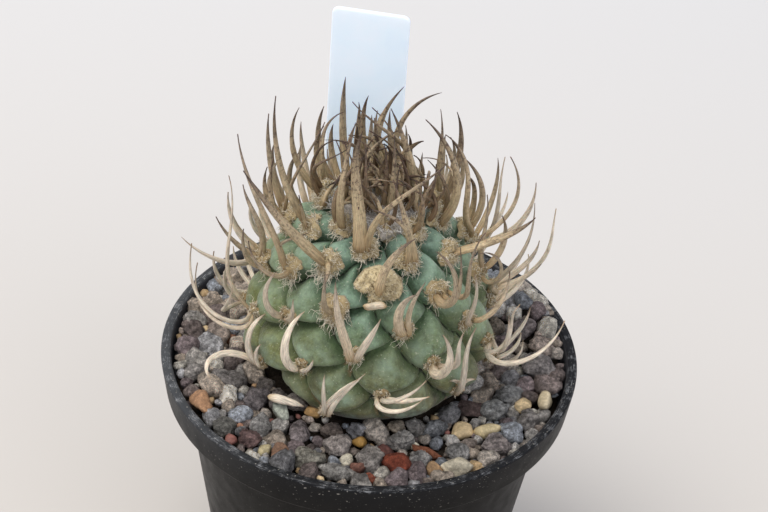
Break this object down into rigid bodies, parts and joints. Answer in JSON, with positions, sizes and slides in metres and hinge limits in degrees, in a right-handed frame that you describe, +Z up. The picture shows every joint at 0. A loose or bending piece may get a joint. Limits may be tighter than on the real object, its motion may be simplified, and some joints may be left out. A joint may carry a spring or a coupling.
{
  "type": "potted globular cactus",
  "caption": "Small round cactus with plump spiral tubercles and flat curved papery spines, in a round black plastic pot topped with gravel, with a plain label stuck in behind it.",
  "frame": {"origin": "centre of the pot's flat underside, on the surface that the pot stands on", "axes": "+Z up along the pot's axis, -Y towards the front that the picture shows, +X to its right"},
  "size_m": [0.065, 0.065, 0.1001],
  "materials": {
    "pot": "satin",
    "grit": "matte",
    "label": "satin",
    "stem": "satin",
    "crown": "matte",
    "areole": "matte"
  },
  "bodies": {
    "root": {"pot": "pot", "grit_bed": "grit", "label": "label", "stem": "stem", "crown": "crown", "areole_19": "areole", "areole_20": "areole", "areole_21": "areole", "areole_22": "areole", "areole_23": "areole", "areole_24": "areole", "areole_25": "areole", "areole_26": "areole", "areole_27": "areole", "areole_28": "areole", "areole_29": "areole", "areole_30": "areole", "areole_31": "areole", "areole_32": "areole", "areole_33": "areole", "areole_34": "areole", "areole_35": "areole", "areole_36": "areole", "areole_37": "areole", "areole_38": "areole", "areole_39": "areole", "areole_40": "areole", "areole_41": "areole", "areole_42": "areole", "areole_43": "areole", "areole_44": "areole", "areole_45": "areole", "areole_46": "areole", "areole_47": "areole", "areole_48": "areole", "areole_49": "areole", "areole_50": "areole", "areole_51": "areole", "areole_52": "areole", "areole_53": "areole", "areole_54": "areole", "areole_55": "areole", "areole_56": "areole", "areole_57": "areole", "areole_58": "areole", "areole_59": "areole", "areole_60": "areole", "areole_61": "areole", "areole_62": "areole", "areole_63": "areole", "areole_64": "areole", "areole_65": "areole", "areole_66": "areole"}
  },
  "joints": []
}
